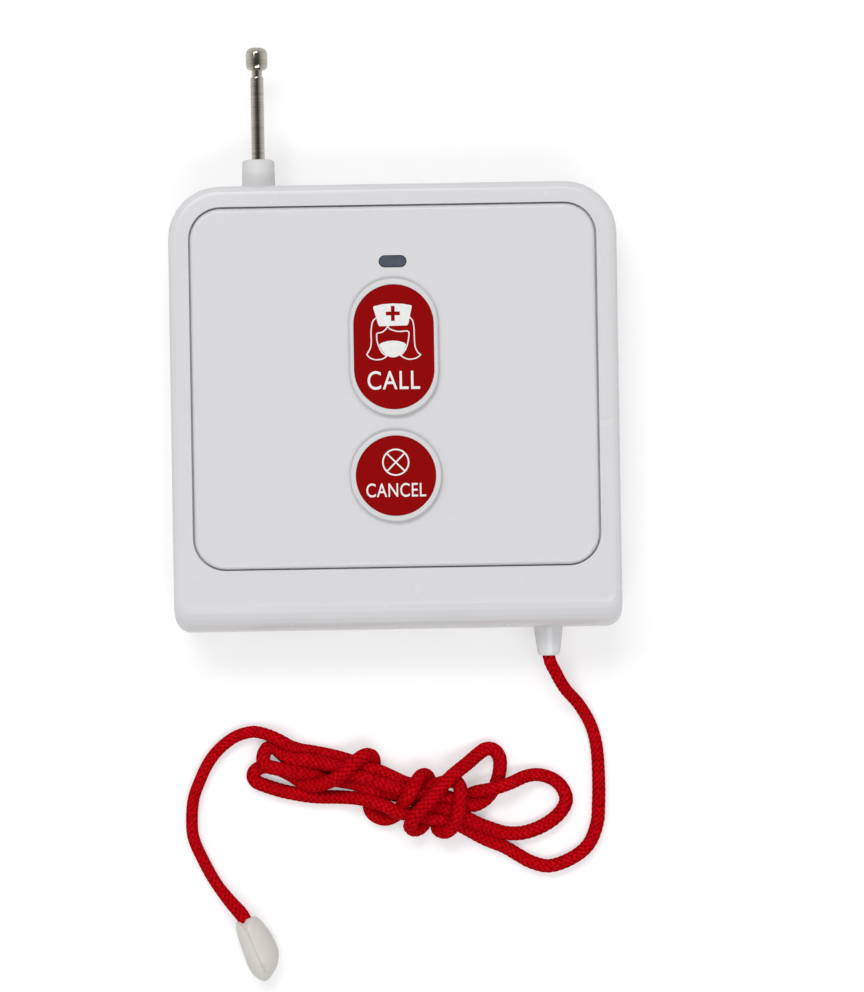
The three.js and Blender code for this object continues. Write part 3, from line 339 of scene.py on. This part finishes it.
# Pull cord, from the slider in the case to its end piece, as one line of stretches in order
pullCord = {
    "radius": 1.25,
    # half the thickness where it lies, against the share of the whole length
    "slack": [(0.0, 1.25), (0.09, 1.25), (0.12, 1.36), (0.23, 1.36), (0.26, 1.42), (0.48, 1.42), (0.5, 1.34),
              (0.53, 1.34), (0.55, 1.42), (0.72, 1.42), (0.74, 1.34), (0.79, 1.34), (0.81, 1.42),
              (0.86, 1.38), (0.9, 1.22), (0.98, 1.2), (0.992, 1.45), (1.0, 1.3)],
    "length": 0.5,  # metres
    "exit": (0.029, -0.0485, 0.0082),  # metres
    "floor": 1.28,
    "strands": 7,  # each way round the braid
    "relief": 0.17,
    "stretches": [
        # down through the slider and the gland, then the long bend to the hank
        [(29, -21.2, 8.2), (29, -32, 8.2), (29, -41, 8.2), (29, -48.5, 8.2), (30.3, -51.9, 7.3),
         (32.2, -55.3, 4.8), (34.9, -58.5, 2.5), (37.2, -62.6, 1.22), (38.3, -67, 1.22), (38.6, -72.7, 1.22),
         (38.5, -78.4, 1.22), (38.1, -82.2, 1.22), (36.4, -86.1, 1.22), (33.2, -88.7, 1.22),
         (28.8, -90.2, 1.22), (25.2, -89.4, 1.22), (22.6, -87.9, 1.22)],
        # into the hank from the right, under the wraps
        [(20, -86.2, 1.22), (17.6, -85, 1.22), (15.6, -83.9, 1.3), (13.7, -82.7, 2), (11.7, -81.4, 3.2),
         (9.4, -80.5, 3.7), (6.9, -80, 3.8), (4.3, -79.2, 3.8), (1.8, -78.2, 3.8)],
        # the lowest strand, to the left
        [(-0.7, -77.4, 3.7), (-3.3, -76.8, 3.6), (-6, -76.1, 3.5), (-9, -75.9, 2.4), (-12.1, -75.9, 1.3),
         (-16.4, -75.8, 1.22), (-20, -75.3, 1.22), (-23.5, -74.6, 1.22), (-26.6, -73.6, 1.22)],
        # the outer left loop
        [(-28.6, -72.7, 1.22), (-29.2, -71.4, 1.22), (-28.4, -70.2, 1.22), (-26.8, -69.7, 1.22),
         (-24.4, -70.1, 1.22)],
        # the strand that lies slantwise on top
        [(-21.9, -71.1, 1.25), (-19.7, -72.2, 1.5), (-17.7, -72.9, 2.5), (-15.7, -72.9, 3.6),
         (-13.7, -72.4, 4.6), (-11.7, -71.2, 5.4), (-10, -69.7, 5.7), (-8.4, -68.5, 5.3), (-7, -68, 4.2)],
        # down behind and round the lowest lobe
        [(-5.9, -68.6, 2.8), (-5.6, -70.2, 1.5), (-6, -72.6, 1.22), (-6.4, -75.1, 1.22), (-6.5, -77.5, 1.22),
         (-6.1, -79.1, 1.22), (-4.7, -80.2, 1.22), (-3, -80.5, 1.22), (-1.2, -79.8, 1.5), (0, -78.4, 2.8)],
        # the left wrap
        [(0.9, -76.8, 4.8), (1.7, -75.4, 5.9), (2.6, -73.9, 5.6), (3.6, -72.8, 4.4), (4.7, -73, 2.9),
         (5.4, -74.4, 1.5), (5.6, -76.3, 1.22), (5.3, -78.5, 1.22), (4.7, -80.3, 1.22)],
        # the middle lobe
        [(3.7, -81.9, 1.6), (2.3, -82.3, 2.6), (1.4, -81.2, 3.9), (2, -79.7, 5.3)],
        # the front wrap, over everything, up to the right
        [(3.4, -78.2, 6.2), (5.2, -76.5, 6.5), (7.2, -74.4, 6.4), (9.1, -72.6, 5.8), (11.1, -71, 4.8),
         (13.1, -69.5, 3.5), (15, -68, 2.1)],
        # the upper loop
        [(16.7, -67, 1.4), (18.3, -67.4, 1.22), (19.2, -68.9, 1.22), (19.2, -70.9, 1.22), (18.7, -73, 1.22),
         (17.5, -75.3, 1.22), (15.6, -77.2, 1.7)],
        # back to the left through the core
        [(13.4, -78.2, 3), (10.8, -77.6, 3.8), (8.1, -76.2, 3.9), (5.2, -75.5, 3.8), (2.4, -75.3, 3.8),
         (-0.3, -74.7, 3.7), (-3.2, -73.6, 3.6), (-6.1, -72.4, 3.7), (-9.2, -71.1, 3.6), (-12.4, -69.9, 3.2),
         (-15.5, -69, 3), (-18.6, -68.4, 3)],
        # the inner left loop
        [(-21.2, -68, 2.7), (-23.1, -67.2, 1.9), (-24.5, -66.1, 1.4), (-26, -65.9, 1.6), (-26.9, -67.1, 2.2),
         (-27.1, -68.5, 2.9), (-26.3, -69.6, 3.3)],
        # to the right again, between the others
        [(-24.3, -70.2, 3.5), (-22, -70.8, 3.4), (-19.9, -71.5, 2.7), (-17.5, -72.1, 1.6),
         (-14.8, -72.5, 1.22), (-12.1, -72.9, 1.3), (-9.3, -73.2, 2.4), (-6.3, -74, 3.6), (-3.4, -75.2, 3.7),
         (-0.5, -76.5, 3.7), (2.2, -77.3, 3.8), (5.1, -77.9, 3.9), (7.9, -78.3, 3.9)],
        # out to the right loop and back
        [(10.4, -79.3, 3.8), (12.5, -80.8, 3.2), (14.7, -82.1, 2.2), (17.2, -83.1, 1.3), (20.4, -83.8, 1.22),
         (23.9, -83.6, 1.22), (27.5, -82.3, 1.22), (30.4, -80.3, 1.22), (32.1, -77.7, 1.22),
         (31.6, -75.2, 1.22), (29.8, -73.3, 1.22), (27, -72.3, 1.3), (24.3, -72.5, 2), (21.5, -73.6, 3.4),
         (18.9, -74.5, 3.7), (16.4, -75.2, 2.8), (14, -75.8, 1.6)],
        # behind the core to the right lobe
        [(11.8, -76.8, 1.22), (9.8, -78.2, 1.22), (8.2, -79.7, 1.22), (7, -81.1, 1.4), (7, -82.1, 2.4),
         (8.4, -82.4, 3.6)],
        # the right wrap
        [(9.8, -81.5, 4.8), (10.7, -79.7, 5.7), (11.1, -77.8, 6.1), (11.3, -75.8, 6.1), (11.3, -74.1, 5.2),
         (10.3, -73, 4)],
        # the top strand, to the left
        [(8.4, -73.2, 3.7), (5.8, -73.9, 3.7), (3.2, -74.2, 3.7), (0.5, -73.8, 3.6), (-2, -72.5, 3.6),
         (-4.7, -71.1, 3.7), (-7.7, -70, 3.6), (-10.8, -68.9, 2.6), (-14.1, -67.9, 1.5),
         (-17.5, -67.2, 1.22)],
        # the free tail, over the inner loop and down to the end piece
        [(-20, -66.9, 1.6), (-21.9, -66.3, 2.6), (-23.6, -65, 3.2), (-25.6, -63.9, 2.6), (-27.6, -63.2, 1.6),
         (-29.6, -63, 1.22), (-32.7, -63.9, 1.22), (-35.8, -66.2, 1.22), (-38.1, -69.1, 1.22),
         (-39.8, -72.6, 1.22), (-41, -75.9, 1.22), (-41.4, -80, 1.22), (-41.1, -83.7, 1.22),
         (-39.4, -87.8, 1.22), (-37.1, -92.1, 1.5), (-34.4, -95.7, 2.3), (-31.9, -98.5, 3.2),
         (-30.9, -100.3, 3.4), (-30.5, -101.6, 3.4)],
    ],
    "step": 1.0,  # between the points that are eased apart
    "fixedStart": 32,  # points that stay as drawn
    "fixedEnd": 14,
    "blend": 8,  # points over which a strand comes free of its fixed end
    "apart": 5,  # points along the cord that never push one another
    "push": 0.22,
    "spread": 0.3,  # how far a push is handed on to its neighbours
    "return": (0.97, 0.97, 0.995),  # share of a shift that is kept each round
    "facets": 4,  # points for each strand of the braid, round and along
}


# Strands that cross or lie side by side are eased apart until they touch
def settle(drawn, rounds=90):
    index = np.arange(len(drawn))
    free = np.abs(index[:, None] - index[None]) > pullCord["apart"]
    contact = 2 * pullCord["radius"]
    fromEnds = np.minimum(index - pullCord["fixedStart"], len(drawn) - pullCord["fixedEnd"] - index)
    give = np.clip(fromEnds / pullCord["blend"], 0, 1)[:, None]
    shift = np.zeros_like(drawn)
    for _ in range(rounds):
        line = drawn + shift
        between = line[:, None] - line[None]
        distance = np.linalg.norm(between, axis=2) + 1e-6
        push = np.where(free & (distance < contact), (contact - distance) / distance, 0)
        shift += pullCord["push"] * (between * push[..., None]).sum(axis=1)
        shift[:, 2] = np.maximum(shift[:, 2], pullCord["floor"] - drawn[:, 2])
        shift[1:-1] += pullCord["spread"] * (shift[:-2] + shift[2:] - 2 * shift[1:-1])
        shift *= give * pullCord["return"]
    return drawn + shift


# Height of the braid, 0 to 1, where around and along are counted in strands
def plait(around, along):
    left, right = around + along, around - along
    over = (np.floor(left) + np.floor(right)) % 2 == 0
    across = np.where(over, left, right) % 1 - 0.5
    run = np.where(over, right, left) % 1 - 0.5
    return 0.7 * np.sqrt(np.clip(1 - 4 * across ** 2, 0, 1)) + 0.3 * np.cos(np.pi * run)


# Rings of points round a line, turned as little as possible from one to the next
def ringsAlong(line, sides):
    heading = np.gradient(line, axis=0)
    heading /= np.linalg.norm(heading, axis=1, keepdims=True)
    side = np.cross(heading[0], (0, 0, 1.0))
    sideways = []
    for direction in heading:
        side = side - direction * side.dot(direction)
        side /= np.linalg.norm(side)
        sideways.append(side)
    sideways = np.array(sideways)
    upward = np.cross(heading, sideways)
    turn = 2 * np.pi * np.arange(sides) / sides
    return np.cos(turn)[None, :, None] * sideways[:, None] + np.sin(turn)[None, :, None] * upward[:, None]


def addPullCord():
    radius, strands, facets = pullCord["radius"], pullCord["strands"], pullCord["facets"]
    drawn = evenly(smoothLine(sum(pullCord["stretches"], [])), pullCord["step"])
    pitch = 2 * np.pi * radius / strands
    line = evenly(smoothLine(settle(drawn)), pitch / facets)
    sides = strands * facets
    around = np.arange(sides)[None] / facets
    along = np.arange(len(line))[:, None] / facets
    crest = plait(around, along)
    shares, radii = zip(*pullCord["slack"])
    reach = np.interp(np.linspace(0, 1, len(line)), shares, radii)[:, None]
    rings = line[:, None] + ringsAlong(line, sides) * (reach - pullCord["relief"] * (1 - crest))[..., None]
    mesh = skin("pull_cord", rings)
    # braid height, which the cord's finish also uses to paint shade into the valleys and light onto the
    # crests
    mesh.attributes.new("crest", "FLOAT", "POINT").data.foreach_set("value", crest.ravel())
    piece = addPiece("pull_cord", mesh, "pull_line", finishes["red_cord"])
    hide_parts("pull_cord_upper", "pull_cord_hank", "pull_cord_lower")
    length = np.linalg.norm(np.diff(line, axis=0), axis=1).sum()
    print(f"pull cord: {length:.1f} mm, {len(mesh.polygons)} faces")
    return piece, line[::facets] * mm


# End piece of the cord: two halves with a seam, the left one narrower, notched where the cord goes in
cordEnd = {
    "top": (-31.1, -99.4, 3.4),
    "turn": 17.0,  # degrees
    "ringStep": 0.12,
    "sides": 240,
    "thinnest": 0.04,
    # distance from the top, width left and right of the seam, and half the height
    "stations": [
        (0.0, 1.75, 1.75, 1.75), (0.35, 2.05, 2.25, 2.1), (1.6, 2.4, 3.0, 2.75), (3.6, 2.5, 3.7, 3.15),
        (5.65, 2.45, 4.15, 3.35), (7.7, 2.42, 4.25, 3.38), (9.1, 2.35, 3.9, 3.2), (10.6, 2.0, 3.1, 2.7),
        (11.7, 1.4, 1.95, 2.0), (12.4, 0.8, 1.1, 1.25), (12.75, 0.35, 0.45, 0.5), (12.8, 0.05, 0.05, 0.1),
    ],
    # distance from the top, place of the seam across, its half width and its depth
    "seam": [(0.0, -0.6, 0.95, 1.3), (1.0, -0.48, 0.45, 0.8), (2.0, -0.36, 0.13, 0.4),
             (10.6, 0.74, 0.13, 0.4), (10.9, 0.8, 0.5, 0.35), (12.0, 0.95, 0.5, 0.3), (12.8, 1.0, 0.2, 0.02)],
}


def addCordEnd():
    rows = evenly(smoothLine(cordEnd["stations"], 12), cordEnd["ringStep"])
    sides = cordEnd["sides"]
    turn = 2 * np.pi * (np.arange(sides) + 0.5) / sides
    out = np.where(np.cos(turn)[None] > 0, rows[:, 2, None], rows[:, 1, None]) * np.cos(turn)[None]
    up = rows[:, 3, None] * np.sin(turn)[None]
    marks = np.array(cordEnd["seam"]).T
    place, width, depth = (np.interp(rows[:, 0], marks[0], mark)[:, None] for mark in marks[1:])
    groove = depth * np.exp(-((out - place) / width) ** 2)
    up = np.sign(up) * np.maximum(np.abs(up) - groove, cordEnd["thinnest"])
    rings = np.stack([out, -np.repeat(rows[:, :1], sides, axis=1), up], axis=-1)
    swing = Matrix.Rotation(math.radians(cordEnd["turn"]), 3, "Z")
    rings = rings @ np.array(swing).T + np.array(cordEnd["top"])
    piece = addPiece("toggle", skin("toggle", rings), "pull_line", finishes["cream_end"])
    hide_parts("toggle_shell_left", "toggle_shell_right")
    return piece


cordPiece, cordLine = addPullCord()
togglePiece = addCordEnd()


# Return spring inside the case, a copy of the CAD spring with its own finish
def addReturnSpring():
    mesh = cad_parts["pull_spring"].data.copy()
    mesh.materials.clear()
    piece = addPiece("return_spring", mesh, "unit", finishes["steel"])
    shadeRound(piece)
    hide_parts("pull_spring")
    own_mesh(piece)


addReturnSpring()
print("return spring added")


# Prints on the two keys: thin ink on the red film, drawn as filled outlines
ink = {"thickness": 0.05, "sink": 0.01, "layer": 0.002}

callPrint = {
    "hat": [(-3.85, 7.55), (-3.7, 7.78), (-1.95, 8.15), (-0.1, 8.26), (1.75, 8.17), (3.4, 7.86), (3.55, 7.65),
            (2.85, 4.4), (2.6, 4.03), (-2.7, 3.95), (-2.9, 4.2)],
    "plus": {"centre": (-0.1, 6.35), "reach": (1.34, 1.44), "bar": 0.36},
    # the hair falls to a tip on each side and turns in under the mask
    "hair": [
        [(-3.35, 5.5), (-3.95, 4.9), (-4.25, 3.6), (-4.32, 2.3), (-4.3, 1.0), (-4.5, -0.2), (-5.2, -1.42)],
        [(-5.2, -1.42), (-4.6, -2.05), (-3.75, -2.38), (-3.05, -2.43), (-2.1, -2.25), (-1.35, -1.75)],
        [(3.15, 5.55), (3.65, 4.9), (3.87, 3.7), (3.92, 2.3), (3.95, 1.0), (4.1, -0.2), (4.55, -1.1),
         (5.1, -1.62)],
        [(5.1, -1.62), (4.3, -2.18), (3.25, -2.42), (2.3, -2.3), (1.2, -1.65)],
    ],
    "face": [
        [(-1.15, 3.95), (-1.5, 3.35), (-2.25, 2.8), (-3.1, 2.62), (-3.24, 2.2), (-3.2, 1.2), (-2.85, 0.0),
         (-2.25, -1.1), (-1.35, -1.75)],
        [(-1.15, 3.95), (-0.7, 3.4), (0.25, 3.02), (1.2, 2.9), (2.5, 2.97), (2.9, 2.65), (2.85, 1.7),
         (2.55, 0.3), (2.0, -0.9), (1.2, -1.65)],
    ],
    "mask": [(-2.85, 0.4), (-2.3, 0.8), (-1.2, 1.1), (-0.15, 1.17), (0.9, 1.07), (1.95, 0.75), (2.4, 0.35),
             (1.95, -0.75), (1.1, -1.62), (0.45, -1.95), (-0.15, -2.05), (-0.85, -1.93), (-1.5, -1.55),
             (-2.3, -0.75)],
    "line": 0.23,
    "word": {"text": "CALL", "centre": (-0.12, -6.38), "size": (10.0, 3.56), "weight": 0.006, "spread": 1.09},
}

cancelPrint = {
    "ring": {"centre": (0, 2.56), "outer": 2.6, "line": 0.3, "cross": 1.55},
    "word": {"text": "CANCEL", "centre": (0, -2.75), "size": (11.4, 2.65), "weight": 0.006, "spread": 1.07},
}


def meshFromCurve(curve):
    holder = bpy.data.objects.new("outline", curve)
    mesh = bpy.data.meshes.new_from_object(holder)
    bpy.data.objects.remove(holder)
    return mesh


def filled(outlines):
    curve = bpy.data.curves.new("outline", "CURVE")
    curve.dimensions = "2D"
    curve.fill_mode = "BOTH"
    curve.extrude = ink["thickness"] / 2
    for outline in outlines:
        spline = curve.splines.new("POLY")
        spline.points.add(len(outline) - 1)
        for point, (x, y) in zip(spline.points, outline):
            point.co = (x, y, 0, 1)
        spline.use_cyclic_u = True
    return meshFromCurve(curve)


def circle(centre, radius, sides=64):
    turn = 2 * np.pi * np.arange(sides) / sides
    return np.stack([centre[0] + radius * np.cos(turn), centre[1] + radius * np.sin(turn)], axis=1)


# Outline of a pen stroke with round ends
def stroke(points, width):
    line = smoothLine(points)
    heading = np.gradient(line, axis=0)
    heading /= np.linalg.norm(heading, axis=1, keepdims=True)
    side = np.stack([-heading[:, 1], heading[:, 0]], axis=1) * width / 2
    ends = []
    for place, aim, out in ((line[-1], side[-1], heading[-1]), (line[0], -side[0], -heading[0])):
        turn = np.linspace(0, np.pi, 9)[1:-1, None]
        ends.append(place + aim * np.cos(turn) + out * np.sin(turn) * width / 2)
    return np.concatenate([line + side, ends[0], (line - side)[::-1], ends[1]])


def plusOutline(centre, reach, bar):
    (x, y), (w, h) = centre, reach
    corners = [(bar, h), (bar, bar), (w, bar), (w, -bar), (bar, -bar), (bar, -h)]
    corners += [(-a, -b) for a, b in corners]
    return [(x + a, y + b) for a, b in corners]


def wordMesh(text, centre, size, weight, spread):
    letters = bpy.data.curves.new("word", "FONT")
    letters.body = text
    letters.offset = weight
    letters.space_character = spread
    letters.extrude = ink["thickness"] / 2
    mesh = meshFromCurve(letters)
    corners = np.array([v.co for v in mesh.vertices])
    low, high = corners.min(axis=0), corners.max(axis=0)
    for vertex in mesh.vertices:
        for k in (0, 1):
            vertex.co[k] = centre[k] + ((vertex.co[k] - low[k]) / (high[k] - low[k]) - 0.5) * size[k]
    return mesh


# Each part of a print lies a hair higher than the last, so that no two faces share a plane
def addPrint(name, label, body, meshes):
    low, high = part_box(label)
    middle = (low + high) / 2 / mm
    joined = bmesh.new()
    for layer, mesh in enumerate(meshes):
        lift = high.z / mm + ink["thickness"] / 2 - ink["sink"] + layer * ink["layer"]
        mesh.transform(Matrix.Scale(mm, 4) @ Matrix.Translation((middle.x, middle.y, lift)))
        joined.from_mesh(mesh)
    mesh = bpy.data.meshes.new(name)
    joined.to_mesh(mesh)
    joined.free()
    return addPiece(name, mesh, body, whiteInk)


def addCallPrint():
    meshes = [filled([stroke(line, callPrint["line"])]) for line in callPrint["hair"] + callPrint["face"]]
    meshes.append(filled([callPrint["hat"], plusOutline(**callPrint["plus"])]))
    meshes.append(filled([callPrint["mask"]]))
    meshes.append(wordMesh(**callPrint["word"]))
    return addPrint("call_print", "call_label", "call_key", meshes)


def addCancelPrint():
    ring = cancelPrint["ring"]
    (x, y), reach = ring["centre"], ring["cross"]
    edges = (ring["outer"], ring["outer"] - ring["line"])
    meshes = [filled([circle(ring["centre"], radius) for radius in edges])]
    for tilt in (1, -1):
        bar = [(x - reach, y - tilt * reach), (x + reach, y + tilt * reach)]
        meshes.append(filled([stroke(bar, ring["line"])]))
    meshes.append(wordMesh(**cancelPrint["word"]))
    return addPrint("cancel_print", "cancel_label", "cancel_key", meshes)


addCallPrint()
addCancelPrint()
print("prints added")


# Studio: a white floor that keeps the shadow, a white room and two soft lamps
studio = {
    "floorSize": 3.0,
    "floorDrop": 0.1,  # below the unit's back
    "floorColor": (226, 226, 227),
    "floorLift": 0.37,  # light that only the camera sees, so that the floor reads as white
    "room": 0.42,
    # brightness of the room in reflections, from level with the floor (0) to straight above (1)
    "roomSeen": [(0.0, 1.0), (0.45, 0.8), (0.75, 0.4), (0.93, 0.1), (1.0, 0.06)],
    "lamps": [
        # name, place and size in metres, watts
        ("upper_lamp", (-0.18, 0.5, 0.85), (0.7, 0.3), 3.6),
        ("lower_lamp", (0.1, -0.42, 0.9), (0.8, 0.25), 2.8),
    ],
}


# 1 for what the camera, a mirror or glass sees directly, and 0 for light that falls on things
def seenDirectly(tree):
    path = tree.nodes.new("ShaderNodeLightPath")
    total = path.outputs["Is Camera Ray"]
    for name in ("Is Glossy Ray", "Is Transmission Ray"):
        add = tree.nodes.new("ShaderNodeMath")
        add.operation = "MAXIMUM"
        tree.links.new(total, add.inputs[0])
        tree.links.new(path.outputs[name], add.inputs[1])
        total = add.outputs["Value"]
    return total


def addFloor():
    half = studio["floorSize"] / 2
    mesh = bpy.data.meshes.new("floor")
    drop = -studio["floorDrop"] * mm
    mesh.from_pydata([(-half, -half, drop), (half, -half, drop), (half, half, drop), (-half, half, drop)],
                     [], [(0, 1, 2, 3)])
    floor = bpy.data.objects.new("floor", mesh)
    bpy.context.scene.collection.objects.link(floor)
    material = bpy.data.materials.new("floor_white")
    material.use_nodes = True
    tree = material.node_tree
    shader = tree.nodes["Principled BSDF"]
    shader.inputs["Base Color"].default_value = (*linear(studio["floorColor"]), 1)
    shader.inputs["Roughness"].default_value = 0.9
    shader.inputs["Specular IOR Level"].default_value = 0.0
    shader.inputs["Emission Color"].default_value = (1, 1, 1, 1)
    scale = tree.nodes.new("ShaderNodeMath")
    scale.operation = "MULTIPLY"
    scale.inputs[1].default_value = studio["floorLift"]
    tree.links.new(seenDirectly(tree), scale.inputs[0])
    tree.links.new(scale.outputs["Value"], shader.inputs["Emission Strength"])
    mesh.materials.append(material)


def addRoom():
    world = bpy.data.worlds.new("room")
    world.use_nodes = True
    tree = world.node_tree
    background = tree.nodes["Background"]
    background.inputs["Color"].default_value = (1, 1, 1, 1)
    split = tree.nodes.new("ShaderNodeSeparateXYZ")
    tree.links.new(tree.nodes.new("ShaderNodeTexCoord").outputs["Generated"], split.inputs["Vector"])
    seen = tree.nodes.new("ShaderNodeValToRGB")
    while len(seen.color_ramp.elements) < len(studio["roomSeen"]):
        seen.color_ramp.elements.new(0.5)
    for element, (height, shade) in zip(seen.color_ramp.elements, studio["roomSeen"]):
        element.position = height
        element.color = (shade, shade, shade, 1)
    tree.links.new(split.outputs["Z"], seen.inputs["Fac"])
    level = tree.nodes.new("ShaderNodeMapRange")
    level.inputs["To Min"].default_value = studio["room"]
    tree.links.new(seenDirectly(tree), level.inputs["Value"])
    tree.links.new(seen.outputs["Color"], level.inputs["To Max"])
    tree.links.new(level.outputs["Result"], background.inputs["Strength"])
    bpy.context.scene.world = world


def addLamps():
    for name, place, (width, height), watts in studio["lamps"]:
        lamp = bpy.data.lights.new(name, "AREA")
        lamp.shape = "RECTANGLE"
        lamp.size, lamp.size_y = width, height
        lamp.energy = watts
        holder = bpy.data.objects.new(name, lamp)
        holder.location = place
        holder.rotation_euler = (-Vector(place)).to_track_quat("-Z", "Y").to_euler()
        bpy.context.scene.collection.objects.link(holder)


addFloor()
addRoom()
addLamps()
bpy.context.scene.view_settings.view_transform = "Standard"
print("studio ready")
